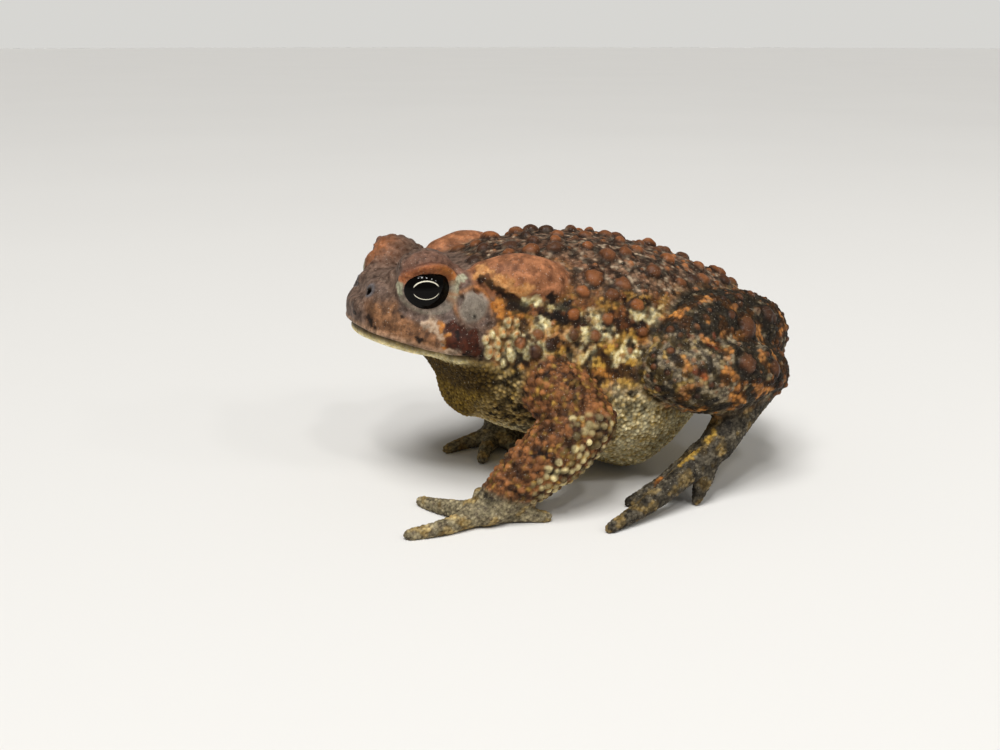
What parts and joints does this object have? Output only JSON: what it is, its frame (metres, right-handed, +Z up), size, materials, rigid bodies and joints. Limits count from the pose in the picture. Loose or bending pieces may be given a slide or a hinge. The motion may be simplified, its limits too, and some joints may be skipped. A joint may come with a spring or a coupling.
{
  "type": "american toad",
  "caption": "Warty American toad sitting at rest, head raised, with dark eyes, long glands behind them and folded hind legs.",
  "frame": {"origin": "middle of the footprint, on the floor that the toad rests on", "axes": "-X towards the snout, -Y to the toad's left, +Z up"},
  "size_m": [0.08, 0.072, 0.0439],
  "materials": {
    "head": "moist matte skin",
    "lower_jaw": "granular matte skin",
    "torso": "warty matte skin",
    "parotoid": "smooth satin gland",
    "eye": "wet gloss",
    "tympanum": "taut matte membrane",
    "arm": "pebbled matte skin",
    "leg": "warty matte skin"
  },
  "bodies": {
    "root": {"head": "head", "lower_jaw": "lower_jaw", "torso": "torso", "parotoid_left": "parotoid", "thigh_left": "leg", "shank_left": "leg", "foot_left": "leg", "eye_left": "eye", "tympanum_left": "tympanum", "upper_arm_left": "arm", "forearm_left": "arm", "hand_left": "arm", "parotoid_right": "parotoid", "thigh_right": "leg", "shank_right": "leg", "foot_right": "leg", "eye_right": "eye", "tympanum_right": "tympanum", "upper_arm_right": "arm", "forearm_right": "arm", "hand_right": "arm"}
  },
  "joints": []
}
